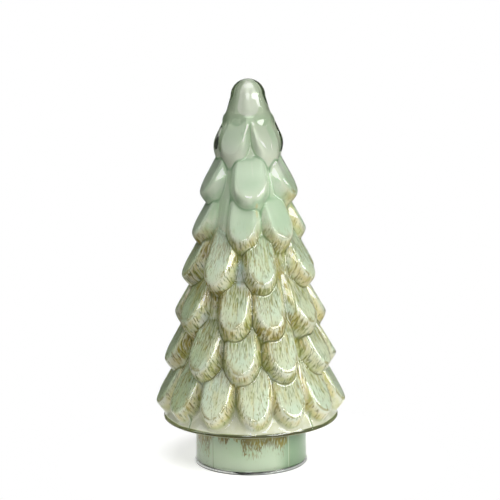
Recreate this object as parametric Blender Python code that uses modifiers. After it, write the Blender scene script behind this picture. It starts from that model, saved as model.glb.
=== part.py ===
"""Decorative blown-glass tree: a clear glass body with a colour coat on its inside wall.

Metres, +Z up, origin at the middle of the foot, on the surface that the tree stands on.
The tree's front faces -Y. Angles are measured round the axis from the front towards +X.
"""
from math import cos, pi, radians, sin

import bmesh
import bpy
import numpy as np

MM = 0.001

# Whole tree
HEIGHT = 330 * MM
DOME_RADIUS = 14.6 * MM
NECK_RADIUS = 18.6 * MM
NECK_DROP = 14.4 * MM
COLLAR_RADIUS = 19.3 * MM
COLLAR_DROP = 15 * MM
WAIST_RADIUS = 65.4 * MM
WAIST_RISE = 16.7 * MM
SKIRT_RADIUS = 74.9 * MM

# Trunk and foot
TRUNK_HEIGHT = 41.3 * MM
TRUNK_RADIUS = 47.6 * MM
SKIRT_EDGE = 1.5 * MM
TRUNK_FILLET = 2.5 * MM
LIP_PROUD = 0.9 * MM
LIP_HEIGHT = 1.8 * MM
EDGE_ROUND = 0.5 * MM

# Leaves: the face slopes outwards to the tip, and a bevel runs round its lower end and its sides
FACE_SLOPE = 0.575
FACE_HOLLOW = 0.9
FACE_END = 15 * MM
LEAF_END = 28 * MM
RIDGE_ROUND = 0.15
VALLEY_FILLET = 1.2 * MM
CROWN_RUN = 13 * MM
CROWN_ROUND = 7 * MM

# One row per tier, from the crown down: height of the tips as a share of the tree's height, rise
# of the tips over the core, half width of a leaf, half width of its face, and drop from the tip
# to the leaf's lower end, in millimetres. Then the angles of the leaves seen from the front and
# the number of leaves that fill the rest of the circle.
TIERS = (
    (0.806, 7.2, 24.0, 12.5, 10.4, (-39, 49), 2),
    (0.714, 15.5, 22.0, 11.5, 13.5, (-66, 2, 62), 3),
    (0.608, 13.9, 21.5, 11.5, 14.5, (-74, -8, 41, 105), 3),
    (0.4985, 16.2, 21.5, 11.0, 13.5, (-76, -34, 12, 63), 4),
    (0.3875, 15.7, 21.5, 11.0, 15.0, (-60, -14, 18, 56), 5),
    (0.279, 16.9, 21.5, 11.5, 14.0, (-78, -39, -7, 26, 63), 6),
    (0.1675, 16.3, 21.5, 11.5, 10.6, (-81, -53, -25, 3, 28, 54, 81), 7),
)

# Glass wall and coat
WALL = 3.6 * MM
LEAF_WALL = 3 * MM
TIP_WALL = 8 * MM
TIP_WALL_START = 0.73
FLOOR_ROUND = 2 * MM
COAT_THICKNESS = 0.6 * MM
COAT_GAP = 0.3 * MM
COAT_END = 3 * MM

# Mesh density
OUTER_COLUMNS = 192
OUTER_ROWS = 124
OUTER_SHARE = 0.125
INNER_COLUMNS = 132
INNER_ROWS = 96
INNER_SHARE = 0.095
CAP_ROWS = 5

# Heights and radii that follow from the sizes above
DOME_Z = HEIGHT - DOME_RADIUS
NECK_Z = DOME_Z - NECK_DROP
COLLAR_Z = NECK_Z - COLLAR_DROP
WAIST_Z = TRUNK_HEIGHT + WAIST_RISE
BORE_RADIUS = TRUNK_RADIUS - WALL
LIP_RADIUS = TRUNK_RADIUS + LIP_PROUD
FLOOR_Z = TRUNK_HEIGHT - SKIRT_EDGE + WALL
CAVITY_CAP = DOME_RADIUS - TIP_WALL
CAVITY_TOP = HEIGHT - 0.7 * TIP_WALL


def core(z):
    """Radius of the plain cone, neck and skirt that the leaves stand on, below the dome."""
    heights = (TRUNK_HEIGHT, WAIST_Z, COLLAR_Z, NECK_Z, DOME_Z)
    radii = (SKIRT_RADIUS, WAIST_RADIUS, COLLAR_RADIUS, NECK_RADIUS, DOME_RADIUS)
    return np.interp(z, heights, radii)


def ramp(value, rounding):
    """The value where it is positive and nothing where it is negative, with a rounded corner."""
    return 0.5 * (value + np.sqrt(value * value + rounding * rounding))


def merge(one, other):
    """The greater of two rises, with a fillet where they meet."""
    size = np.clip(np.minimum(one, other), 0, VALLEY_FILLET)
    return 0.5 * (one + other + np.sqrt((one - other) ** 2 + size * size))


def leaf_angles(front, behind):
    """All the leaves of a tier: those in front, then the others evenly across the back."""
    gap = (front[0] + 360 - front[-1]) / (behind + 1)
    return [radians(a) for a in front] + [radians(front[-1] + gap * (k + 1)) for k in range(behind)]


def tier_rise(tier, phi, z):
    """How far one tier's leaves stand out from the core."""
    share, rise, half, face_half, drop, front, behind = tier
    half, face_half, drop = half * MM, face_half * MM, drop * MM
    tip_z = share * HEIGHT
    tip_radius = core(tip_z) + rise * MM
    above = z - tip_z
    if tier is TIERS[0]:
        slope = FACE_SLOPE * ramp(above - CROWN_RUN, CROWN_ROUND)
    else:
        slope = FACE_SLOPE * above
    total = np.zeros(np.broadcast(phi, z).shape)
    for angle in leaf_angles(front, behind):
        across = tip_radius * (np.mod(phi - angle + pi, 2 * pi) - pi)
        face_down = np.maximum(FACE_END - above, 0) * face_half / FACE_END
        leaf_down = np.maximum(LEAF_END - drop - above, 0) * half / LEAF_END
        inside = np.hypot(across, face_down) - face_half
        outside = half - np.hypot(across, leaf_down)
        share_up = np.clip(outside / np.maximum(outside + inside, 2 * MM), -3, 4)
        profile = ramp(share_up, RIDGE_ROUND) - ramp(share_up - 1, RIDGE_ROUND)
        flat = FACE_HOLLOW * np.minimum(np.abs(across), face_half) ** 2 / (2 * tip_radius)
        face = ramp(tip_radius - slope + flat - core(z), 0.5 * VALLEY_FILLET)
        total = merge(total, face * profile)
    return total


def outer_radius(phi, z):
    """Radius of the outside of the tree at any angle and height between skirt and dome."""
    rise = np.zeros(np.broadcast(phi, z).shape)
    for tier in TIERS:
        rise = merge(rise, tier_rise(tier, phi, z))
    return core(z) + rise


def wall_thickness(z):
    """Radial thickness of the glass behind the leaves, which grows towards the tip."""
    start = TIP_WALL_START * HEIGHT
    share = np.clip((z - start) / (NECK_Z - start), 0, 1)
    return LEAF_WALL + (TIP_WALL - LEAF_WALL) * share * share * (3 - 2 * share)


def hollow_radii(phi, heights):
    """Radius of the hollow on a grid: each point keeps clear of the outside all round it."""
    outside = outer_radius(phi[None, :], heights[:, None])
    rows = np.pad(outside, ((1, 1), (0, 0)), mode="edge")
    lowest = np.minimum(np.minimum(rows[:-2], rows[1:-1]), rows[2:])
    lowest = np.minimum(np.minimum(np.roll(lowest, 1, axis=1), lowest), np.roll(lowest, -1, axis=1))
    soft = (np.roll(lowest, 1, axis=1) + 2 * lowest + np.roll(lowest, -1, axis=1)) / 4
    return soft - wall_thickness(heights)[:, None]


def ring(radius, z, phi):
    """Points of one level ring. The radius is one number or one per angle."""
    radius = np.broadcast_to(radius, phi.shape)
    return np.stack([radius * np.sin(phi), -radius * np.cos(phi), np.full(phi.shape, z)], axis=1)


def quarter(count):
    """Angles of a quarter turn, without its first and last."""
    return [0.5 * pi * (k + 1) / (count + 1) for k in range(count)]


def outer_rings(phi):
    """Rings of the outside, from just under the apex down to the ground face."""
    rings = []
    for a in quarter(CAP_ROWS):
        rings.append(ring(DOME_RADIUS * sin(a), DOME_Z + DOME_RADIUS * cos(a), phi))
    bottom = TRUNK_HEIGHT + 0.3 * SKIRT_EDGE
    for z in np.linspace(DOME_Z, bottom, OUTER_ROWS):
        rings.append(ring(outer_radius(phi, np.full(phi.shape, z)), z, phi))
    rim = SKIRT_RADIUS - SKIRT_EDGE
    for a in quarter(2) + [0.5 * pi]:
        rings.append(ring(rim + SKIRT_EDGE * cos(a), TRUNK_HEIGHT - SKIRT_EDGE * sin(a), phi))
    under = TRUNK_HEIGHT - SKIRT_EDGE
    for a in [0] + quarter(2) + [0.5 * pi]:
        rings.append(ring(TRUNK_RADIUS + TRUNK_FILLET * (1 - sin(a)), under - TRUNK_FILLET * (1 - cos(a)), phi))
    rings.append(ring(TRUNK_RADIUS, LIP_HEIGHT + LIP_PROUD, phi))
    rings.append(ring(LIP_RADIUS, LIP_HEIGHT, phi))
    rings.append(ring(LIP_RADIUS, EDGE_ROUND, phi))
    rings.append(ring(LIP_RADIUS - EDGE_ROUND, 0.0, phi))
    return rings


def hollow_rings(phi):
    """Rings of the hollow, from just under its apex down to the top of the trunk's bore."""
    rings = []
    for a in quarter(CAP_ROWS):
        rings.append(ring(CAVITY_CAP * sin(a), DOME_Z + (CAVITY_TOP - DOME_Z) * cos(a), phi))
    heights = np.linspace(DOME_Z, FLOOR_Z + FLOOR_ROUND, INNER_ROWS)
    radii = hollow_radii(phi, heights)
    for radius, z in zip(radii, heights):
        rings.append(ring(radius, z, phi))
    for a in quarter(2) + [0.5 * pi]:
        rings.append(ring(radii[-1] - FLOOR_ROUND * (1 - cos(a)), FLOOR_Z + FLOOR_ROUND * (1 - sin(a)), phi))
    for a in [0] + quarter(2) + [0.5 * pi]:
        rings.append(ring(BORE_RADIUS + FLOOR_ROUND * (1 - sin(a)), FLOOR_Z - FLOOR_ROUND * (1 - cos(a)), phi))
    return rings


def skin_faces(start, rows, columns):
    """Triangles between the rings of one skin, and round its apex, which is its first vertex."""
    faces = [(start, start + 1 + j, start + 1 + (j + 1) % columns) for j in range(columns)]
    for k in range(rows - 1):
        for j in range(columns):
            a = start + 1 + k * columns + j
            b = start + 1 + k * columns + (j + 1) % columns
            faces += [(a, a + columns, b + columns), (a, b + columns, b)]
    return faces


def skin(name, columns, apex, rings, closed):
    """A surface through an apex and rings below it, with a flat end or open at its last ring."""
    vertices = [(0.0, 0.0, apex)]
    vertices += [tuple(float(c) for c in point) for points in rings for point in points]
    faces = skin_faces(0, len(rings), columns)
    if closed:
        faces.append(tuple(range(len(vertices) - columns, len(vertices))))
    mesh = bpy.data.meshes.new(name)
    mesh.from_pydata(vertices, [], faces)
    outward(mesh)
    return bpy.data.objects.new(name, mesh)


def outward(mesh):
    """Turn the faces of a mesh to point away from its inside."""
    work = bmesh.new()
    work.from_mesh(mesh)
    bmesh.ops.recalc_face_normals(work, faces=work.faces)
    work.to_mesh(mesh)
    work.free()
    mesh.update()


def lengthened(mesh, name, end, closed):
    """A copy of an open skin, carried straight down from its edge to a height."""
    work = bmesh.new()
    work.from_mesh(mesh)
    rim = [edge for edge in work.edges if edge.is_boundary]
    grown = bmesh.ops.extrude_edge_only(work, edges=rim)["geom"]
    for vertex in grown:
        if isinstance(vertex, bmesh.types.BMVert):
            vertex.co.z = end
    if closed:
        bmesh.ops.holes_fill(work, edges=[edge for edge in work.edges if edge.is_boundary], sides=0)
    bmesh.ops.recalc_face_normals(work, faces=work.faces)
    result = bpy.data.meshes.new(name)
    work.to_mesh(result)
    work.free()
    return bpy.data.objects.new(name, result)


def material(name, colour, roughness, metallic, transmission, ior):
    """A plain material for one piece."""
    result = bpy.data.materials.new(name)
    result.use_nodes = True
    shader = result.node_tree.nodes["Principled BSDF"]
    shader.inputs["Base Color"].default_value = (*colour, 1)
    shader.inputs["Roughness"].default_value = roughness
    shader.inputs["Metallic"].default_value = metallic
    shader.inputs["Transmission Weight"].default_value = transmission
    shader.inputs["IOR"].default_value = ior
    return result


def angles_round(columns):
    """Equal angles round the axis."""
    return np.arange(columns) * (2 * pi / columns)


def finish_piece(piece, collection, surface):
    """Link a piece, give it its material and shade it smooth."""
    collection.objects.link(piece)
    piece.data.materials.append(surface)
    for polygon in piece.data.polygons:
        polygon.use_smooth = True


def hollow_mesh(cutters):
    """The skin of the hollow above the bore, thinned to an even surface."""
    phi = angles_round(INNER_COLUMNS)
    fine = skin("hollow_guide", INNER_COLUMNS, CAVITY_TOP, hollow_rings(phi), False)
    cutters.objects.link(fine)
    thin = fine.modifiers.new("even_surface", "DECIMATE")
    thin.ratio = INNER_SHARE
    graph = bpy.context.evaluated_depsgraph_get()
    result = bpy.data.meshes.new_from_object(fine.evaluated_get(graph))
    bpy.data.objects.remove(fine)
    return result


def build_glass_body(parts, cutters, hollow_skin):
    """The blown body: the lofted outside, thinned to an even surface, less its hollow."""
    phi = angles_round(OUTER_COLUMNS)
    body = skin("glass_body", OUTER_COLUMNS, HEIGHT, outer_rings(phi), True)
    finish_piece(body, parts, material("clear_green_glass", (0.78, 0.9, 0.8), 0.03, 0.0, 0.9, 1.5))
    hollow = lengthened(hollow_skin, "hollow_cutter", -5 * MM, True)
    cutters.objects.link(hollow)
    hollow.hide_render = True
    hollow.display_type = "WIRE"
    thin = body.modifiers.new("even_surface", "DECIMATE")
    thin.ratio = OUTER_SHARE
    cut = body.modifiers.new("hollow", "BOOLEAN")
    cut.operation = "DIFFERENCE"
    cut.solver = "EXACT"
    cut.object = hollow


def build_colour_coat(parts, hollow_skin):
    """The coloured coat: one thin shell just inside the hollow, open at the foot."""
    coat = lengthened(hollow_skin, "colour_coat", COAT_END, False)
    finish_piece(coat, parts, material("celadon_coat", (0.46, 0.58, 0.42), 0.35, 0.0, 0.0, 1.5))
    shell = coat.modifiers.new("shell", "SOLIDIFY")
    shell.thickness = COAT_THICKNESS
    shell.offset = -1 - 2 * COAT_GAP / COAT_THICKNESS
    shell.use_even_offset = False


def main():
    for thing in list(bpy.data.objects):
        bpy.data.objects.remove(thing, do_unlink=True)
    parts = bpy.data.collections.new("decorative_tree")
    cutters = bpy.data.collections.new("cutters")
    bpy.context.scene.collection.children.link(parts)
    bpy.context.scene.collection.children.link(cutters)
    hollow_skin = hollow_mesh(cutters)
    build_glass_body(parts, cutters, hollow_skin)
    build_colour_coat(parts, hollow_skin)


main()
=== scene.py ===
from math import cos, pi, radians, sin

import bmesh
import bpy
import numpy as np
from mathutils import Matrix, Vector

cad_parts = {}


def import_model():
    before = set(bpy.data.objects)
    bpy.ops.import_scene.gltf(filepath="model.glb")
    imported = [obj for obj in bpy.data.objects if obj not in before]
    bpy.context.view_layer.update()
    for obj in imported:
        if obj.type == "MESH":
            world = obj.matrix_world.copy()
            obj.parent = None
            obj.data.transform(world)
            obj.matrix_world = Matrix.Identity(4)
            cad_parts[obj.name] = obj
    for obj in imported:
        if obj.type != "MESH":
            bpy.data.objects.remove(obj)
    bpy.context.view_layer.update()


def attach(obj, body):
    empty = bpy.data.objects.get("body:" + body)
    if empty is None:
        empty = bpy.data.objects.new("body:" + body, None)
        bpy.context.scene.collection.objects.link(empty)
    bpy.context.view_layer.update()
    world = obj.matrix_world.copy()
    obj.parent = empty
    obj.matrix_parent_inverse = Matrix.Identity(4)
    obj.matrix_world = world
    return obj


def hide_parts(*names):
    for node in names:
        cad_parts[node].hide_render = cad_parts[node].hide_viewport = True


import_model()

MM = 0.001

# Form of the tree, in the frame's own coordinates: +Z up, the front faces -Y, and angles are
# measured round the axis from the front towards +X.
HEIGHT = 330 * MM
DOME_RADIUS = 14.6 * MM
NECK_RADIUS = 18.6 * MM
NECK_DROP = 14.4 * MM
COLLAR_RADIUS = 19.3 * MM
COLLAR_DROP = 15 * MM
WAIST_RADIUS = 65.4 * MM
WAIST_RISE = 16.7 * MM
SKIRT_RADIUS = 74.9 * MM
TRUNK_HEIGHT = 41.3 * MM
TRUNK_RADIUS = 47.6 * MM
SKIRT_EDGE = 1.5 * MM
TRUNK_FILLET = 2.5 * MM
LIP_PROUD = 0.9 * MM
LIP_HEIGHT = 1.8 * MM
EDGE_ROUND = 0.5 * MM

# A leaf: its face leans in by a slope, is nearly flat across, and narrows down to its end. A bevel
# runs from the face out to the leaf's outline. Its ridges are rounded by a share of the bevel.
FACE_SLOPE = 0.6
FACE_FLAT = 0.9
FACE_END = 15 * MM
LEAF_END = 28 * MM
FACE_TAPER = 0.25
TAPER_RUN = 26 * MM
LEAST_BEVEL = 2 * MM
RIDGE_ROUND = 0.14
SIDE_RIDGE = 0.75 * RIDGE_ROUND
SECOND_RIDGE = 2 * RIDGE_ROUND
SIDE_ANGLE = 60
VALLEY_FILLET = 1.0 * MM

# The crown's leaves stand upright over a run above their tips, have longer lower ends, lean towards
# the front as they rise, and run out into the neck.
CROWN_RUN = 13 * MM
CROWN_ROUND = 7 * MM
CROWN_RIDGE = 0.22
CROWN_FACE_END = 25 * MM
CROWN_LEAF_END = 33 * MM
CROWN_LEAN = 9
LEAN_RUN = 30 * MM
CREASE_TOP = 286 * MM
CREASE_FADE = 18 * MM

# One row per tier, from the crown down: height of the tips as a share of the tree's height, rise
# of the tips, half width of a leaf, half width of its face, drop from the tip to the lower end,
# all in millimetres, the angles of the leaves in front, and the number of the others.
TIERS = (
    (0.805, 6.2, 20.5, 13.8, 11.5, (-38, 49), 3),
    (0.712, 12.6, 25.5, 13.5, 12.8, (-79, 2, 77), 2),
    (0.609, 13.1, 21.5, 11.0, 13.5, (-78, -8, 41, 103), 3),
    (0.502, 15.4, 21.5, 10.8, 13.3, (-78, -34, 12, 69), 4),
    (0.393, 14.9, 21.5, 10.8, 17.0, (-61, -14, 18, 56), 5),
    (0.283, 16.3, 21.5, 11.2, 15.0, (-80, -39, -7, 26, 64), 6),
    (0.1695, 15.5, 21.5, 11.2, 11.2, (-81, -53, -25, 3, 28, 54, 83), 7),
)

# The wall of the glass. The coat bites into it, and behind the leaves the hollow is inset further
# still and keeps clear of the outside over a reach in degrees and millimetres.
WALL = 3.6 * MM
LEAF_WALL = 2.0 * MM
FLOOR_WALL = 2.2 * MM
TIP_WALL = 7.0 * MM
TIP_WALL_START = 0.73
APEX_WALL = 0.69 * TIP_WALL
FLOOR_ROUND = 2 * MM
COAT_END = 1.7 * MM
COAT_BITE = 0.4 * MM
HOLLOW_INSET = 0.7 * MM
HOLLOW_REACH = 3

OUTER_COLUMNS = 350
OUTER_ROWS = 212
INNER_COLUMNS = 150
INNER_ROWS = 72
COAT_COLUMNS = 360
COAT_ROWS = 230
CAP_ROWS = 6
TRUNK_ROWS = 8
BORE_ROWS = 12
ROUND_STEPS = 3
EDGE_STEPS = 2

# How the coat's streaks run: each leaf has its own place in the noise, they fan out over the lower
# end of a leaf, and run straight down on the trunk.
GOLDEN = 0.618034
OWN_SHIFT = 0.5
FAN = 0.3
FLOW_RADIUS = 48 * MM
LEAF_FOOT = 4 * MM

# The crease at a leaf's outline: its width, and the rises between which a leaf starts to have one.
CREASE_WIDTH = 1.2 * MM
CREASE_START = 0.2 * MM
CREASE_FULL = 1 * MM

FLOOR_SIZE = 0.4
SEAMS = (-136, -46, 44, 134)

DOME_Z = HEIGHT - DOME_RADIUS
NECK_Z = DOME_Z - NECK_DROP
COLLAR_Z = NECK_Z - COLLAR_DROP
WAIST_Z = TRUNK_HEIGHT + WAIST_RISE
BORE_RADIUS = TRUNK_RADIUS - WALL
LIP_RADIUS = TRUNK_RADIUS + LIP_PROUD
FLOOR_Z = TRUNK_HEIGHT - SKIRT_EDGE + FLOOR_WALL
CAVITY_CAP = DOME_RADIUS - TIP_WALL
CAVITY_TOP = HEIGHT - APEX_WALL

# Display colours of the coat as they show through the glass: first the pairs that are mixed, then
# the single ones.
MINT = ((157, 180, 150), (170, 188, 161))
MINT_LOW = ((190, 197, 162), (188, 206, 178))
# Faces at the left: painted shade on the side away from the light, with a more olive tint.
MINT_WEST_SHADE = ((160, 178, 130), (172, 192, 150))
RIM_GREEN = ((162, 188, 152), (192, 207, 178))
RIM_BEIGE = ((198, 184, 122), (224, 212, 166))
RIM_MINT = ((180, 188, 134), (208, 212, 176))
VALLEY_GREEN = ((182, 208, 168), (194, 214, 182))
VALLEY_OLIVE = ((142, 148, 92), (180, 184, 140))
CROWN = ((182, 205, 174), (212, 220, 200))
# A painted sheen of pale blue-grey.
PAINTED_SHEEN = ((200, 226, 226), (222, 220, 222))
TAN_END = ((168, 146, 86), (206, 184, 128))
TAN_WASH = ((150, 150, 76), (184, 162, 90))
LINES = ((92, 98, 28), (118, 98, 28))
HAIRS = ((66, 76, 20), (88, 74, 20))
# Painted shade for the creases at the leaves' outlines.
CREASE_SHADE = ((116, 150, 112), (72, 76, 30))
SKIRT_BAND = ((206, 204, 172), (226, 224, 200))
TRUNK = ((164, 190, 152), (180, 200, 168))
# Painted shade on the trunk's right side.
TRUNK_EAST_SHADE = ((84, 112, 80), (100, 128, 96))
STAINS = ((140, 148, 92), (164, 176, 128))
DRIPS = ((84, 68, 4), (110, 92, 18))
TIP_GREEN = ((176, 192, 166), (188, 200, 176))
CREAM = (234, 231, 208)
PALE_END = (214, 220, 198)
AMBER = (196, 172, 110)
SPECKS = (90, 96, 36)
BRINK = (104, 94, 40)
# Painted shade along the skirt's lower edge.
SKIRT_EDGE_SHADE = (176, 176, 128)
TRUNK_FOOT = (186, 205, 174)
# A painted highlight and painted shade on either side of each raised mould seam.
SEAM_HIGHLIGHT = (226, 232, 212)
SEAM_SHADE = (104, 120, 80)
TIP_CREAM = (232, 233, 225)

# Heights in millimetres between which the coat changes, from where a change starts to where it is
# full, and the height from which the drips run down.
TIP_FROM = (286, 304)
CROWN_FROM = (246, 256)
WARM_FROM = (236, 198)
WARM_FACES_FROM = (214, 180)
SKIRT_FROM = (68, 58)
LEAVES_FROM = (46, 52)
SKIRT_EDGE_SHADE_FROM = (42.8, 42.2)
TRUNK_FROM = (41.2, 40.6)
DRIP_TOP = 33.0

# Clear glass: its tint, the painted shade along the ground face and the heights between which that
# starts, and the colour and density of the glass in its depth.
GLASS_TINT = (0.97, 0.99, 0.96)
GROUND_SHADE_TINT = (0.02, 0.022, 0.018)
GROUND_SHADE_FROM = (1.25 * MM, 0.8 * MM)
DEPTH_TINT = (0.42, 0.5, 0.3, 1)
DEPTH_DENSITY = 50.0

# The floor: its colour, its glow as it is seen, and the distances from the axis, in metres,
# between which it turns white.
FLOOR_TINT = (0.82, 0.82, 0.82, 1)
FLOOR_GLOW = 0.42
FLOOR_WHITE_FROM = (0.075, 0.17)

# Strength of the world's light behind the tree, and elsewhere.
REAR_LIGHT = 1.2
DIM_LIGHT = 0.06

# Stretches of the trunk's rim where the drips reach lower: the angles where one starts, is full,
# is last full and ends, and its length in millimetres.
DRIP_STRETCHES = (
    (-40, -34, -27, -22, 7.0),
    (-14, -8, 41, 45, 9.0),
    (-14, -8, 5, 14, 5.0),
)

# Each lamp's name, place in metres, width, height and power in watts.
LAMPS = (
    ("key", (0.84, -0.72, 0.5), 1.0, 0.42, 18.5),
    ("left_box", (-1.05, -0.62, 0.6), 0.9, 1.0, 5.5),
    ("top_box", (0.05, -0.3, 1.75), 1.2, 0.9, 17),
    ("front_box", (-0.1, -2.4, 0.95), 0.8, 0.7, 15),
)
LAMP_AIM = (0, 0, 0.17)

# The camera: its place in metres, tilt and roll in degrees, the lens in pixels of a frame so many
# pixels wide, the sensor's width in millimetres, and the shift of the picture.
CAMERA_PLACE = (0, -1.7, 0.5262)
CAMERA_TILT = 11.38
CAMERA_ROLL = 0.53
LENS_PIXELS = 2046.5
FRAME_PIXELS = 500
SENSOR_WIDTH = 36
PICTURE_SHIFT = 0.0013


def core(z):
    """Radius of the plain cone, neck and skirt that the leaves stand on, below the dome."""
    heights = (TRUNK_HEIGHT, WAIST_Z, COLLAR_Z, NECK_Z, DOME_Z)
    radii = (SKIRT_RADIUS, WAIST_RADIUS, COLLAR_RADIUS, NECK_RADIUS, DOME_RADIUS)
    return np.interp(z, heights, radii)


def ramp(value, rounding):
    """The value where it is positive and nothing where it is negative, with a rounded corner."""
    return 0.5 * (value + np.sqrt(value * value + rounding * rounding))


def smooth(share):
    """The share held between 0 and 1, and made level at both ends."""
    share = np.clip(share, 0, 1)
    return share * share * (3 - 2 * share)


def merge(one, other):
    """The greater of two rises, with a fillet where they meet."""
    size = np.clip(np.minimum(one, other), 0, VALLEY_FILLET)
    return 0.5 * (one + other + np.sqrt((one - other) ** 2 + size * size))


def leaf_angles(front, behind):
    """All the leaves of a tier: those in front, then the others evenly across the back."""
    gap = (front[0] + 360 - front[-1]) / (behind + 1)
    return [radians(a) for a in front] + [radians(front[-1] + gap * (k + 1)) for k in range(behind)]


def ridge_rounding(tier, angle):
    """Rounding of a leaf's ridges, which are softer near the top and sharper away from the front."""
    if tier is TIERS[0]:
        return CROWN_RIDGE
    if abs(angle) > radians(SIDE_ANGLE):
        return SIDE_RIDGE
    return SECOND_RIDGE if tier is TIERS[1] else RIDGE_ROUND


def leaf_rise(tier, angle, phi, z):
    """One leaf: how far it stands out, how much of a point is its face, and the place on it."""
    share, rise, half, face_half, drop = tier[:5]
    half, face_half, drop = half * MM, face_half * MM, drop * MM
    tip_z = share * HEIGHT
    tip_radius = core(tip_z) + rise * MM
    above = z - tip_z
    rounding = ridge_rounding(tier, angle)
    slope, taper = FACE_SLOPE * above, FACE_TAPER
    face_end, leaf_end = FACE_END, LEAF_END
    if tier is TIERS[0]:
        slope, taper = FACE_SLOPE * ramp(above - CROWN_RUN, CROWN_ROUND), 0
        face_end, leaf_end = CROWN_FACE_END, CROWN_LEAF_END
        angle = angle - radians(CROWN_LEAN) * sin(angle) * np.clip(above / LEAN_RUN, 0, 1)
    turn = np.mod(phi - angle + pi, 2 * pi) - pi
    across = tip_radius * turn
    face_down = np.maximum(face_end - above, 0) * face_half / face_end
    leaf_down = np.maximum(leaf_end - drop - above, 0) * half / leaf_end
    face_half = face_half * (1 + taper * np.clip(above / TAPER_RUN, 0, 1))
    inside = np.hypot(across, face_down) - face_half
    outside = half - np.hypot(across, leaf_down)
    share_up = np.clip(outside / np.maximum(outside + inside, LEAST_BEVEL), -3, 4)
    profile = ramp(share_up, rounding) - ramp(share_up - 1, rounding)
    if tier is TIERS[0]:
        profile = profile + (1 - profile) * smooth((z - CREASE_TOP) / CREASE_FADE)
    flat = FACE_FLAT * np.minimum(np.abs(across), face_half) ** 2 / (2 * tip_radius)
    face = ramp(tip_radius - slope + flat - core(z), 0.5 * VALLEY_FILLET)
    return face * profile, profile, across, above


def outer_radius(phi, z):
    """Radius of the outside of the tree at any angle and height between skirt and dome."""
    rise = np.zeros(np.broadcast(phi, z).shape)
    for tier in TIERS:
        total = np.zeros(rise.shape)
        for angle in leaf_angles(tier[5], tier[6]):
            total = merge(total, leaf_rise(tier, angle, phi, z)[0])
        rise = merge(rise, total)
    return core(z) + rise


def leaf_marks(phi, z):
    """For each point: share of face, height above the leaf's tip, place across it, a number of the
    leaf's own between 0 and 1, and how near it is to the crease at the leaf's outline."""
    shape = np.broadcast(phi, z).shape
    best, second = np.zeros(shape), np.zeros(shape)
    face, across, own = np.zeros(shape), np.zeros(shape), np.zeros(shape)
    above = np.full(shape, 2 * FACE_END)
    count = 0
    for tier in TIERS:
        for angle in leaf_angles(tier[5], tier[6]):
            count += 1
            rise, profile, aside, height = leaf_rise(tier, angle, phi, z)
            here = rise > best
            second = np.where(here, best, np.maximum(second, rise))
            best = np.where(here, rise, best)
            face = np.where(here, profile, face)
            above = np.where(here, height, above)
            across = np.where(here, aside, across)
            own = np.where(here, (count * GOLDEN) % 1, own)
    on_leaf = np.clip((best - CREASE_START) / (CREASE_FULL - CREASE_START), 0, 1)
    return np.clip(face, 0, 1), above, across, own, on_leaf * np.exp((second - best) / CREASE_WIDTH)


def wall_thickness(z):
    """Radial thickness of the glass behind the leaves, which grows towards the tip."""
    start = TIP_WALL_START * HEIGHT
    return LEAF_WALL + (TIP_WALL - LEAF_WALL) * smooth((z - start) / (NECK_Z - start))


def hollow_radii(phi, heights, reach):
    """Radius of the hollow on a grid. With a reach, each point keeps clear of all the outside that
    lies within so many degrees and as many millimetres of it, and is smoothed."""
    outside = outer_radius(phi[None, :], heights[:, None])
    wide = round(radians(reach) / (phi[1] - phi[0]))
    tall = round(reach * MM / abs(heights[1] - heights[0]))
    lowest = outside
    for step in range(-tall, tall + 1):
        index = np.clip(np.arange(len(heights)) + step, 0, len(heights) - 1)
        lowest = np.minimum(lowest, outside[index])
    narrow = lowest
    for step in range(-wide, wide + 1):
        lowest = np.minimum(lowest, np.roll(narrow, step, axis=1))
    for _ in range(wide):
        lowest = (np.roll(lowest, 1, axis=1) + 2 * lowest + np.roll(lowest, -1, axis=1)) / 4
        rows = np.pad(lowest, ((1, 1), (0, 0)), mode="edge")
        lowest = (rows[:-2] + 2 * lowest + rows[2:]) / 4
    return lowest - wall_thickness(heights)[:, None] - (HOLLOW_INSET if reach else 0)


def ring(radius, z, phi):
    """Points of one level ring. The radius is one number or one per angle."""
    radius = np.broadcast_to(radius, phi.shape)
    return np.stack([radius * np.sin(phi), -radius * np.cos(phi), np.full(phi.shape, z)], axis=1)


def quarter(count):
    """Angles of a quarter turn, without its first and last."""
    return [0.5 * pi * (k + 1) / (count + 1) for k in range(count)]


def angles_round(columns):
    """Equal angles round the axis."""
    return np.arange(columns) * (2 * pi / columns)


def outer_rings(phi):
    """Rings of the outside, from just under the apex down to the ground face."""
    rings = []
    for a in quarter(CAP_ROWS):
        rings.append(ring(DOME_RADIUS * sin(a), DOME_Z + DOME_RADIUS * cos(a), phi))
    bottom = TRUNK_HEIGHT + 0.3 * SKIRT_EDGE
    heights = np.linspace(DOME_Z, bottom, OUTER_ROWS)
    for radius, z in zip(outer_radius(phi[None, :], heights[:, None]), heights):
        rings.append(ring(radius, z, phi))
    rim = SKIRT_RADIUS - SKIRT_EDGE
    for a in quarter(ROUND_STEPS) + [0.5 * pi]:
        rings.append(ring(rim + SKIRT_EDGE * cos(a), TRUNK_HEIGHT - SKIRT_EDGE * sin(a), phi))
    under = TRUNK_HEIGHT - SKIRT_EDGE
    for a in [0] + quarter(ROUND_STEPS) + [0.5 * pi]:
        radius = TRUNK_RADIUS + TRUNK_FILLET * (1 - sin(a))
        rings.append(ring(radius, under - TRUNK_FILLET * (1 - cos(a)), phi))
    for z in np.linspace(under - TRUNK_FILLET, LIP_HEIGHT + LIP_PROUD, TRUNK_ROWS)[1:]:
        rings.append(ring(TRUNK_RADIUS, z, phi))
    rings.append(ring(TRUNK_RADIUS + 0.4 * LIP_PROUD, LIP_HEIGHT + 0.4 * LIP_PROUD, phi))
    rings.append(ring(LIP_RADIUS, LIP_HEIGHT, phi))
    for a in [0] + quarter(EDGE_STEPS) + [0.5 * pi]:
        rings.append(ring(LIP_RADIUS - EDGE_ROUND * (1 - cos(a)), EDGE_ROUND * (1 - sin(a)), phi))
    return rings


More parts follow.
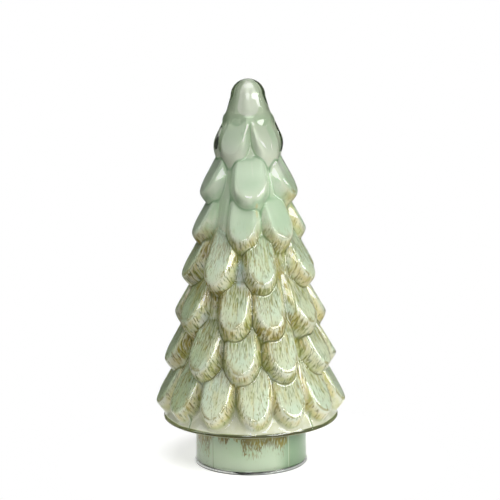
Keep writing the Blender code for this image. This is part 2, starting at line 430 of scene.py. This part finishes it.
def hollow_rings(phi, rows, grow, end, reach):
    """Rings of the hollow grown by a length, from just under its apex down the bore to an end."""
    rings = []
    for a in quarter(CAP_ROWS):
        z = DOME_Z + (CAVITY_TOP + grow - DOME_Z) * cos(a)
        rings.append(ring((CAVITY_CAP + grow) * sin(a), z, phi))
    floor_z = FLOOR_Z - grow
    heights = np.linspace(DOME_Z, floor_z + FLOOR_ROUND, rows)
    radii = hollow_radii(phi, heights, reach) + grow
    for radius, z in zip(radii, heights):
        rings.append(ring(radius, z, phi))
    for a in quarter(ROUND_STEPS) + [0.5 * pi]:
        radius = radii[-1] - FLOOR_ROUND * (1 - cos(a))
        rings.append(ring(radius, floor_z + FLOOR_ROUND * (1 - sin(a)), phi))
    bore = BORE_RADIUS + grow
    for a in [0] + quarter(ROUND_STEPS) + [0.5 * pi]:
        radius = bore + FLOOR_ROUND * (1 - sin(a))
        rings.append(ring(radius, floor_z - FLOOR_ROUND * (1 - cos(a)), phi))
    for z in np.linspace(floor_z - FLOOR_ROUND, end, BORE_ROWS)[1:]:
        rings.append(ring(bore, z, phi))
    return rings


def skin(name, apex, rings):
    """A surface through an apex and the rings below it, open at its last ring. Each cell is split
    along the diagonal that bends less, so that the ridges stay smooth."""
    grid = np.array(rings)
    normal = np.cross(np.roll(grid, -1, axis=1) - np.roll(grid, 1, axis=1), np.gradient(grid, axis=0))
    normal = normal / (np.linalg.norm(normal, axis=2, keepdims=True) + 1e-12)
    beside = np.roll(normal, -1, axis=1)
    turned = (beside[:-1] * normal[1:]).sum(axis=2) > (normal[:-1] * beside[1:]).sum(axis=2)
    index = 1 + np.arange(grid.shape[0] * grid.shape[1]).reshape(grid.shape[:2])
    after = np.roll(index, -1, axis=1)
    a, b, c, d = index[:-1], after[:-1], index[1:], after[1:]
    faces = [
        np.stack([np.zeros_like(a[0]), a[0], b[0]], axis=1),
        np.stack([a, c, np.where(turned, b, d)], axis=2).reshape(-1, 3),
        np.stack([np.where(turned, c, a), d, b], axis=2).reshape(-1, 3),
    ]
    vertices = np.concatenate([np.array([[0.0, 0.0, apex]]), grid.reshape(-1, 3)])
    mesh = bpy.data.meshes.new(name)
    mesh.from_pydata(vertices.tolist(), [], np.concatenate(faces).tolist())
    return mesh


def outward(mesh):
    """Turn the faces of a mesh to point away from its inside."""
    work = bmesh.new()
    work.from_mesh(mesh)
    bmesh.ops.recalc_face_normals(work, faces=work.faces)
    work.to_mesh(mesh)
    work.free()
    mesh.update()


def points_of(mesh):
    """The places of a mesh's points, one row each."""
    place = np.empty(len(mesh.vertices) * 3)
    mesh.vertices.foreach_get("co", place)
    return place.reshape(-1, 3)


def record(mesh, name, values):
    """Keep one number per point on the mesh, for its material."""
    mesh.attributes.new(name, "FLOAT", "POINT").data.foreach_set("value", values)


def shown(name, mesh):
    """An object in the scene with smooth shading."""
    piece = bpy.data.objects.new(name, mesh)
    bpy.context.scene.collection.objects.link(piece)
    mesh.polygons.foreach_set("use_smooth", np.ones(len(mesh.polygons), dtype=bool))
    mesh.update()
    return piece


def build_glass():
    """The clear body: the outside joined to the inside round the ground face of the foot."""
    outside = skin("outside", HEIGHT, outer_rings(angles_round(OUTER_COLUMNS)))
    rings = hollow_rings(angles_round(INNER_COLUMNS), INNER_ROWS, 0, 0, HOLLOW_REACH)
    inside = skin("inside", CAVITY_TOP, rings)
    work = bmesh.new()
    work.from_mesh(outside)
    work.from_mesh(inside)
    rims = [edge for edge in work.edges if edge.is_boundary]
    bmesh.ops.bridge_loops(work, edges=rims)
    bmesh.ops.recalc_face_normals(work, faces=work.faces)
    mesh = bpy.data.meshes.new("glass")
    work.to_mesh(mesh)
    work.free()
    place = points_of(mesh)
    record(mesh, "turn", np.degrees(np.arctan2(place[:, 0], -place[:, 1])))
    return shown("glass_shell", mesh)


def build_coat():
    """The colour layer, which bites a little into the glass so that no air lies between them."""
    rings = hollow_rings(angles_round(COAT_COLUMNS), COAT_ROWS, COAT_BITE, COAT_END, 0)
    mesh = skin("coat", CAVITY_TOP + COAT_BITE, rings)
    outward(mesh)
    place = points_of(mesh)
    phi = np.arctan2(place[:, 0], -place[:, 1])
    z = place[:, 2]
    face, above, across, own, crease = leaf_marks(phi, z)
    leafy = (z > TRUNK_HEIGHT + LEAF_FOOT) & (z < DOME_Z)
    down = np.clip((FACE_END - above) / FACE_END, 0, 2)
    fan = np.where(leafy, across * (1 - FAN * down), phi * FLOW_RADIUS)
    record(mesh, "face", np.where(leafy, face, 0))
    record(mesh, "above", above / MM)
    record(mesh, "side", across / MM)
    record(mesh, "turn", np.degrees(phi))
    record(mesh, "facing", np.cos(phi))
    record(mesh, "height", z / MM)
    record(mesh, "crease", np.where(leafy, crease, 0))
    flow = np.stack([fan, own * OWN_SHIFT, z], axis=1).ravel()
    mesh.attributes.new("flow", "FLOAT_VECTOR", "POINT").data.foreach_set("vector", flow)
    return shown("colour_layer", mesh)


class Graph:
    """Short calls for building one node tree. A value is a number or another node's socket."""

    def __init__(self, tree):
        self.tree = tree

    def add(self, kind, **settings):
        """A new node with its settings."""
        node = self.tree.nodes.new(kind)
        for name, value in settings.items():
            setattr(node, name, value)
        return node

    def put(self, socket, value):
        """Link a socket to another one, or set its number or colour."""
        if isinstance(value, bpy.types.NodeSocket):
            self.tree.links.new(value, socket)
        elif isinstance(value, (tuple, list)) and socket.type == "RGBA":
            socket.default_value = (*value, 1)
        else:
            socket.default_value = value

    def math(self, operation, one, other=0.0, third=0.0):
        """One step of arithmetic on up to three values."""
        node = self.add("ShaderNodeMath", operation=operation)
        for socket, value in zip(node.inputs, (one, other, third)):
            self.put(socket, value)
        return node.outputs[0]

    def times(self, product, *others):
        """The product of all the values."""
        for other in others:
            product = self.math("MULTIPLY", product, other)
        return product

    def flip(self, value):
        """One less the value."""
        return self.math("SUBTRACT", 1.0, value)

    def length(self, one, other):
        """Length of the diagonal over two sides."""
        squares = self.math("ADD", self.math("POWER", one, 2.0), self.math("POWER", other, 2.0))
        return self.math("SQRT", squares)

    def span(self, value, low, high, to_low=0.0, to_high=1.0):
        """A smooth step between two values, up or down."""
        node = self.add("ShaderNodeMapRange", interpolation_type="SMOOTHSTEP")
        for socket, number in zip(node.inputs, (value, low, high, to_low, to_high)):
            self.put(socket, number)
        return node.outputs[0]

    def window(self, value, start, full, last, end):
        """One between full and last, and nothing before the start and after the end."""
        return self.times(self.span(value, start, full), self.span(value, end, last))

    def mix(self, share, one, other):
        """Two colours mixed by a share of the second."""
        node = self.add("ShaderNodeMix", data_type="RGBA", clamp_factor=True)
        self.put(node.inputs[0], share)
        self.put(node.inputs[6], one)
        self.put(node.inputs[7], other)
        return node.outputs[2]

    def blend(self, share, one, other):
        """Two numbers mixed by a share of the second."""
        node = self.add("ShaderNodeMix", data_type="FLOAT")
        self.put(node.inputs[0], share)
        self.put(node.inputs[2], one)
        self.put(node.inputs[3], other)
        return node.outputs[0]

    def mark(self, name, output="Fac"):
        """A value that was recorded on the mesh."""
        node = self.add("ShaderNodeAttribute", attribute_type="GEOMETRY", attribute_name=name)
        return node.outputs[output]

    def place(self):
        """The point's place on the object."""
        return self.add("ShaderNodeTexCoord").outputs["Object"]

    def parts(self, vector):
        """The outputs X, Y and Z of a vector."""
        node = self.add("ShaderNodeSeparateXYZ")
        self.put(node.inputs[0], vector)
        return node.outputs

    def noise(self, vector, scale, detail=2.0, rough=0.5):
        """Soft noise between 0 and 1 at a place."""
        node = self.add("ShaderNodeTexNoise")
        self.put(node.inputs["Vector"], vector)
        node.inputs["Scale"].default_value = scale
        node.inputs["Detail"].default_value = detail
        node.inputs["Roughness"].default_value = rough
        return node.outputs["Fac"]


def srgb(red, green, blue):
    """A display colour in 0 to 255 as linear numbers."""
    return tuple(c / 12.92 if c <= 0.04045 else ((c + 0.055) / 1.055) ** 2.4
                 for c in (red / 255, green / 255, blue / 255))


def through_glass(red, green, blue):
    """The coat's own colour for a display colour as it shows through the clear wall. The wall turns
    much of the coat's light back to it, which deepens every tone below white."""
    return tuple(min(c / (0.36 + 0.62 * c), 0.97) for c in srgb(red, green, blue))


class Coat(Graph):
    """The colour layer's node tree, with the values that its parts share: face is 1 on a leaf's
    face and 0 in a valley, low is 1 where the tree is warm and streaked, and ahead is 1 all round
    but for the very back."""

    def __init__(self, tree):
        super().__init__(tree)
        self.face = self.mark("face")
        self.above = self.mark("above")
        self.height = self.mark("height")
        self.turn = self.mark("turn")
        self.flow = self.mark("flow", "Vector")
        self.ahead = self.span(self.mark("facing"), -0.997, -0.77)
        self.point = self.place()
        self.cloud = self.span(self.noise(self.point, 30, 3), 0.38, 0.62)
        self.mottle = self.span(self.noise(self.point, 110, 3), 0.38, 0.62)
        self.region = self.span(self.noise(self.point, 48, 2), 0.4, 0.6)
        self.broad = self.strands(0.25, 190)
        self.hair = self.strands(0.13, 1250, 2, 0.6)
        self.level = self.math("ADD", self.height, self.math("MULTIPLY", self.broad, 24.0))
        east = self.times(self.span(self.turn, 50, 70), self.span(self.height, 262, 245), self.ahead)
        self.low = self.math("MAXIMUM", self.span(self.level, *WARM_FROM), self.times(east, 0.8))
        self.leafy = self.span(self.height, *LEAVES_FROM)
        self.on_face = self.span(self.face, 0.76, 0.97)
        self.in_valley = self.span(self.face, 0.5, 0.08)

    def strands(self, stretch, scale, detail=2.0, rough=0.5):
        """Noise that runs down the leaves and the trunk, the more drawn out the less the stretch."""
        node = self.add("ShaderNodeVectorMath", operation="MULTIPLY")
        self.put(node.inputs[0], self.flow)
        node.inputs[1].default_value = (1.0, 1.0, stretch)
        return self.noise(node.outputs[0], scale, detail, rough)

    def tone(self, colours, share):
        """Two display colours mixed by a share of the second."""
        return self.mix(share, through_glass(*colours[0]), through_glass(*colours[1]))


def leaf_colour(g):
    """Faces, bevels and valleys, green near the top and warmer below, with painted shade on the faces
    at the left and a painted highlight band on the crown.
    """
    # Painted shade: the faces at the left turn darker, and more olive.
    west_shade = g.times(g.span(g.turn, -24, -50, 0.0, 0.85), g.ahead)
    faces = g.mix(west_shade, g.tone(MINT_LOW, g.cloud), g.tone(MINT_WEST_SHADE, g.cloud))
    faces = g.mix(g.span(g.level, *WARM_FACES_FROM), g.tone(MINT, g.cloud), faces)
    beige = g.math("MULTIPLY_ADD", g.region, 0.65, 0.35)
    rim = g.mix(beige, g.tone(RIM_MINT, g.mottle), g.tone(RIM_BEIGE, g.mottle))
    rim = g.mix(g.low, g.tone(RIM_GREEN, g.mottle), rim)
    valley = g.tone(VALLEY_GREEN, g.mottle)
    base = g.mix(g.in_valley, rim, g.mix(g.low, valley, g.tone(VALLEY_OLIVE, g.mottle)))
    base = g.mix(g.on_face, base, faces)
    # A painted highlight: a pale band down the left part of the crown's leaves right of the front.
    band = g.times(g.span(g.mark("side"), 4.5, 3), g.span(g.turn, 4, 9), 0.9)
    crown = g.tone(CROWN, g.math("MAXIMUM", g.span(g.above, 19, 1), band))
    crown = g.mix(g.times(g.in_valley, 0.8), crown, valley)
    return g.mix(g.span(g.height, *CROWN_FROM), base, crown)


def painted_sheen_share(g):
    """Where a painted sheen turns the layer pale blue-grey: here and there beside the faces, and in
    one patch in front.
    """
    sheen = g.times(g.span(g.noise(g.point, 45, 1), 0.56, 0.66), g.span(g.face, 0.9, 0.4), g.low, 0.6)
    across = g.math("DIVIDE", g.math("ADD", g.turn, 9.5), 7.5)
    along = g.math("DIVIDE", g.math("SUBTRACT", g.height, 171.0), 14.0)
    return g.math("MAXIMUM", sheen, g.span(g.length(across, along), 1.1, 0.5))


def lips_and_ends(g, base):
    """The cream lip along each bevel, in part a painted highlight, then the lower ends: paler on all,
    tan on the lower tiers.
    """
    cream = through_glass(*CREAM)
    # The lip is cream, and in part a painted highlight beside the ridge.
    lip = g.times(g.window(g.face, 0.6, 0.82, 0.9, 1.0), g.span(g.above, 24, 0))
    base = g.mix(g.times(lip, g.span(g.height, 225, 195, 0.3, 0.65)), base, cream)
    end = g.times(g.span(g.above, 9, -5), g.span(g.face, 0.1, 0.8))
    base = g.mix(g.times(end, g.span(g.height, 244, 250, 0.0, 0.5)), base, cream)
    pale = g.times(g.span(g.above, 10, -3), g.on_face, g.flip(g.low), 0.45)
    base = g.mix(pale, base, through_glass(*PALE_END))
    burnt = g.times(end, g.low, g.math("MULTIPLY_ADD", g.region, 0.35, 0.2))
    burnt = g.times(burnt, g.span(g.height, 70, 110), g.flip(g.on_face))
    return g.mix(burnt, base, g.tone(TAN_END, g.mottle))


def side_bevels(g):
    """The bevels at the far right, and those low at the far left, which have fewer streaks."""
    left = g.times(g.span(g.turn, -42, -56), g.span(g.height, 104, 84))
    sides = g.math("MAXIMUM", g.span(g.turn, 44, 62), left)
    return g.times(sides, g.flip(g.on_face), g.ahead)


def streak_amount(g, painted_sheen, bevels):
    """How thickly the streaks lie: most in the valleys and on the bevels, and up on the faces."""
    over_face = g.span(g.above, 5, 26, 0.0, 0.75)
    amount = g.blend(g.on_face, g.math("MULTIPLY_ADD", g.region, 0.5, 0.5), over_face)
    amount = g.times(amount, g.low, g.leafy, g.span(g.height, 50, 115, 0.25, 1.0))
    amount = g.times(amount, g.span(painted_sheen, 0.0, 1.0, 1.0, 0.2))
    return g.times(amount, g.math("MULTIPLY_ADD", bevels, -0.7, 1.0))


def streaks(g, base, painted_sheen):
    """A tan wash, one amber run, cream and olive lines, dark hairs and specks."""
    bevels = side_bevels(g)
    amount = streak_amount(g, painted_sheen, bevels)
    wash = g.span(g.math("MULTIPLY_ADD", amount, 0.16, g.broad), 0.56, 0.76)
    wash = g.times(wash, g.low, g.math("MULTIPLY_ADD", g.on_face, -0.35, 0.72), g.leafy)
    base = g.mix(wash, base, g.tone(TAN_WASH, g.mottle))
    run = g.times(g.window(g.turn, 7.6, 9.2, 10.4, 12.0), g.window(g.height, 217, 221, 229, 232))
    base = g.mix(g.times(run, 0.6), base, through_glass(*AMBER))
    streak = g.strands(0.14, 940, 3, 0.65)
    light = g.span(g.math("MULTIPLY_ADD", amount, -0.1, streak), 0.4, 0.32)
    base = g.mix(g.times(light, 0.5, g.low), base, through_glass(*CREAM))
    line = g.span(g.math("MULTIPLY_ADD", amount, 0.12, streak), 0.6, 0.68)
    line = g.times(line, g.math("MULTIPLY_ADD", bevels, -0.35, 0.7), g.low)
    base = g.mix(line, base, g.tone(LINES, g.region))
    hairs = g.span(g.math("MULTIPLY_ADD", amount, 0.1, g.hair), 0.61, 0.68)
    base = g.mix(g.times(hairs, 0.78, g.low), base, g.tone(HAIRS, g.region))
    speck = g.span(g.strands(0.35, 900), 0.64, 0.69)
    return g.mix(g.times(speck, g.low, 0.7), base, through_glass(*SPECKS))


def crease_shade_and_brink(g, base):
    """Painted shade in the crease at each leaf's outline, and a thin dark brink round the face's
    lower end.
    """
    # Painted shade where each leaf meets the next.
    outline = g.times(g.span(g.mark("crease"), 0.15, 0.65), g.span(g.height, 56, 110, 0.5, 1.0))
    outline = g.times(outline, g.math("MULTIPLY_ADD", g.mottle, 0.4, 0.6))
    base = g.mix(outline, base, g.tone(CREASE_SHADE, g.low))
    brink = g.times(g.window(g.face, 0.9, 0.94, 0.965, 0.995), g.span(g.above, 18, 8))
    brink = g.times(brink, g.span(g.mottle, 0.35, 0.8, 0.1, 0.8), g.low, 0.8)
    return g.mix(brink, base, through_glass(*BRINK))


def skirt_band(g, base):
    """The pale band under the lowest leaves, with a line of painted shade at the skirt's lower edge.
    """
    band = g.times(g.span(g.height, *SKIRT_FROM), g.span(g.face, 0.3, 0.02))
    base = g.mix(band, base, g.tone(SKIRT_BAND, g.mottle))
    # Painted shade along the skirt's lower edge.
    return g.mix(g.span(g.height, *SKIRT_EDGE_SHADE_FROM), base, through_glass(*SKIRT_EDGE_SHADE))


def drip_length(g):
    """How far down the drips reach from the top of the trunk, at each angle."""
    length = g.times(g.span(g.turn, -44, -52), g.ahead, 15.0)
    for start, full, last, end, more in DRIP_STRETCHES:
        stretch = g.times(g.window(g.turn, start, full, last, end), more)
        length = g.math("ADD", length, stretch)
    return g.math("ADD", length, g.span(g.strands(0.0, 90), 0.34, 0.64, 1.5, 6.0))


def trunk_colour(g):
    """The trunk: green, with painted shade down its right side, and stains and drips that run down
    from its top.
    """
    depth = g.math("DIVIDE", g.math("SUBTRACT", DRIP_TOP, g.height), drip_length(g))
    threads = g.math("MAXIMUM", g.hair, g.strands(0.16, 1500, 2, 0.6))
    drip = g.span(g.math("MULTIPLY_ADD", depth, -0.2, threads), 0.4, 0.44)
    base = g.mix(g.span(g.height, 20, 6), g.tone(TRUNK, g.cloud), through_glass(*TRUNK_FOOT))
    # Painted shade down the trunk's right side.
    east = g.times(g.span(g.turn, 24, 48, 0.0, 0.9), g.ahead)
    base = g.mix(east, base, g.tone(TRUNK_EAST_SHADE, g.cloud))
    base = g.mix(g.span(depth, 0.9, -0.1, 0.0, 0.6), base, g.tone(STAINS, g.mottle))
    return g.mix(g.times(drip, 0.9), base, g.tone(DRIPS, g.mottle))


def mould_seams(g, base):
    """A painted highlight and painted shade on either side of each raised mould seam, down the
    skirt's edge and the trunk where the mould's parts met.
    """
    foot = g.times(g.span(g.height, 58, 52), g.ahead)
    for seam in SEAMS:
        off = g.math("SUBTRACT", g.turn, float(seam))
        # Painted highlight on one side of the seam.
        pale = g.times(g.window(off, -0.7, -0.2, 0.2, 0.6), foot, 0.7)
        base = g.mix(pale, base, through_glass(*SEAM_HIGHLIGHT))
        # Painted shade on its other side.
        dark = g.times(g.window(off, 0.3, 0.6, 1.1, 1.8), foot, 0.75)
        base = g.mix(dark, base, through_glass(*SEAM_SHADE))
    return base


def tip_colour(g, base):
    """The green neck and dome, with a cream patch on the front of the dome."""
    base = g.mix(g.span(g.height, *TIP_FROM), base, g.tone(TIP_GREEN, g.cloud))
    aside = g.math("DIVIDE", g.turn, 48.0)
    under = g.math("DIVIDE", g.math("MAXIMUM", g.math("SUBTRACT", 308.0, g.height), 0.0), 9.0)
    return g.mix(g.span(g.length(aside, under), 1.05, 0.85), base, through_glass(*TIP_CREAM))


def new_material(name, kind=Graph):
    """A material with its shader and the graph that builds its nodes."""
    result = bpy.data.materials.new(name)
    result.use_nodes = True
    return result, result.node_tree.nodes["Principled BSDF"], kind(result.node_tree)


def coat_material():
    """The colour layer, built up from the plain leaves to the tip."""
    result, shader, g = new_material("colour_layer", Coat)
    painted_sheen = painted_sheen_share(g)
    # Painted sheen laid over the leaves' colour.
    base = g.mix(painted_sheen, leaf_colour(g), g.tone(PAINTED_SHEEN, g.mottle))
    base = lips_and_ends(g, base)
    base = streaks(g, base, painted_sheen)
    base = crease_shade_and_brink(g, base)
    base = skirt_band(g, base)
    base = g.mix(g.span(g.height, *TRUNK_FROM), base, trunk_colour(g))
    base = mould_seams(g, base)
    base = tip_colour(g, base)
    richer = g.add("ShaderNodeHueSaturation")
    g.put(richer.inputs["Color"], base)
    g.put(richer.inputs["Saturation"], g.span(g.height, 270, 220, 1.03, 1.13))
    g.put(richer.inputs["Value"], g.span(g.height, 270, 220, 1.0, 1.03))
    g.put(shader.inputs["Base Color"], richer.outputs[0])
    g.put(shader.inputs["Roughness"], g.span(g.noise(g.point, 110, 3), 0.3, 0.7, 0.35, 0.55))
    return result


def glass_material():
    """Clear glass with a slight green depth, mould seams, and painted shade along the foot's ground
    edge.
    """
    result, shader, g = new_material("clear_glass")
    place = g.place()
    parts = g.parts(place)
    # Painted shade: the glass turns dark along the ground edge of the foot.
    ground = g.span(parts["Z"], *GROUND_SHADE_FROM)
    g.put(shader.inputs["Base Color"], g.mix(ground, GLASS_TINT, GROUND_SHADE_TINT))
    shader.inputs["Transmission Weight"].default_value = 1.0
    shader.inputs["IOR"].default_value = 1.5
    g.put(shader.inputs["Roughness"], g.span(g.noise(place, 35, 3), 0.3, 0.75, 0.0, 0.02))
    relief = g.noise(place, 60, 2)
    turn = g.mark("turn")
    off_middle = g.span(g.math("ABSOLUTE", parts["X"]), 2 * MM, 4 * MM)
    for seam in SEAMS:
        off = g.math("ABSOLUTE", g.math("SUBTRACT", turn, float(seam)))
        relief = g.math("ADD", relief, g.times(g.span(off, 0.8, 0.2, 0.0, 0.9), off_middle))
    bump = g.add("ShaderNodeBump")
    bump.inputs["Strength"].default_value = 0.25
    bump.inputs["Distance"].default_value = 1 * MM
    g.put(bump.inputs["Height"], relief)
    g.put(shader.inputs["Normal"], bump.outputs[0])
    inside = g.add("ShaderNodeVolumeAbsorption")
    inside.inputs["Color"].default_value = DEPTH_TINT
    inside.inputs["Density"].default_value = DEPTH_DENSITY
    g.put(result.node_tree.nodes["Material Output"].inputs["Volume"], inside.outputs[0])
    return result


def floor_material():
    """A pale matt floor that brightens to white away from the tree and keeps its shadow."""
    result, shader, g = new_material("pale_floor")
    result.node_tree.nodes.remove(shader)
    matt = g.add("ShaderNodeBsdfDiffuse")
    matt.inputs["Color"].default_value = FLOOR_TINT
    path = g.add("ShaderNodeLightPath").outputs
    glassy = g.math("MAXIMUM", path["Is Glossy Ray"], path["Is Transmission Ray"])
    seen = g.math("MAXIMUM", path["Is Camera Ray"], glassy)
    glow = g.add("ShaderNodeEmission")
    g.put(glow.inputs["Strength"], g.times(seen, FLOOR_GLOW))
    near = g.add("ShaderNodeAddShader")
    g.put(near.inputs[0], matt.outputs[0])
    g.put(near.inputs[1], glow.outputs[0])
    white = g.add("ShaderNodeEmission")
    g.put(white.inputs["Strength"], seen)
    distance = g.add("ShaderNodeVectorMath", operation="LENGTH")
    g.put(distance.inputs[0], g.place())
    far = g.add("ShaderNodeMixShader")
    g.put(far.inputs[0], g.span(distance.outputs["Value"], *FLOOR_WHITE_FROM))
    g.put(far.inputs[1], near.outputs[0])
    g.put(far.inputs[2], white.outputs[0])
    g.put(result.node_tree.nodes["Material Output"].inputs["Surface"], far.outputs[0])
    return result


def build_world():
    """White to the camera and in the glass, but for a dark flag at either side, and a soft light
    from behind after the first diffuse bounce."""
    world = bpy.data.worlds.new("studio")
    bpy.context.scene.world = world
    world.use_nodes = True
    g = Graph(world.node_tree)
    parts = g.parts(g.add("ShaderNodeTexCoord").outputs["Generated"])
    path = g.add("ShaderNodeLightPath").outputs
    rear = g.span(parts["Y"], 0.3, 0.95, DIM_LIGHT, REAR_LIGHT)
    flags = g.span(g.math("ABSOLUTE", parts["X"]), 0.34, 0.12)
    direct = g.math("LESS_THAN", path["Diffuse Depth"], 0.5)
    glassy = g.math("MAXIMUM", path["Is Glossy Ray"], path["Is Transmission Ray"])
    seen = g.math("MAXIMUM", path["Is Camera Ray"], g.times(glassy, g.times(flags, direct)))
    light = g.math("MAXIMUM", g.times(rear, g.flip(direct)), seen)
    background = world.node_tree.nodes["Background"]
    background.inputs["Color"].default_value = (1, 1, 1, 1)
    g.put(background.inputs["Strength"], g.math("MAXIMUM", light, DIM_LIGHT))


def lamp(name, place, width, height, power):
    """A soft rectangular lamp that faces the tree."""
    data = bpy.data.lights.new(name, "AREA")
    data.shape = "RECTANGLE"
    data.size, data.size_y = width, height
    data.energy = power
    thing = bpy.data.objects.new(name, data)
    bpy.context.scene.collection.objects.link(thing)
    thing.location = place
    away = Vector(place) - Vector(LAMP_AIM)
    thing.rotation_euler = away.to_track_quat("Z", "Y").to_euler()


def build_studio():
    """The floor, the world and the lamps."""
    work = bmesh.new()
    bmesh.ops.create_grid(work, x_segments=1, y_segments=1, size=FLOOR_SIZE / 2)
    mesh = bpy.data.meshes.new("floor")
    work.to_mesh(mesh)
    work.free()
    floor = bpy.data.objects.new("floor", mesh)
    bpy.context.scene.collection.objects.link(floor)
    mesh.materials.append(floor_material())
    build_world()
    for name, place, width, height, power in LAMPS:
        lamp(name, place, width, height, power)


def build_camera():
    """The camera that sees the tree as the photo does."""
    data = bpy.data.cameras.new("camera")
    data.sensor_width = SENSOR_WIDTH
    data.lens = LENS_PIXELS * SENSOR_WIDTH / FRAME_PIXELS
    data.shift_x = PICTURE_SHIFT
    camera = bpy.data.objects.new("camera", data)
    bpy.context.scene.collection.objects.link(camera)
    tilt = Matrix.Rotation(pi / 2 - radians(CAMERA_TILT), 3, "X")
    turn = tilt @ Matrix.Rotation(-radians(CAMERA_ROLL), 3, "Z")
    camera.matrix_world = Matrix.Translation(CAMERA_PLACE) @ turn.to_4x4()
    bpy.context.scene.camera = camera


def main():
    """The tree over its solids, the studio and the camera."""
    bpy.context.scene.view_settings.view_transform = "Standard"
    glass = build_glass()
    coat = build_coat()
    glass.data.materials.append(glass_material())
    coat.data.materials.append(coat_material())
    pieces = ((glass, "glass_body", "clear_green_glass"), (coat, "colour_coat", "celadon_coat"))
    for piece, node, place in pieces:
        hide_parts(node)
        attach(piece, "root")
    build_studio()
    build_camera()


main()
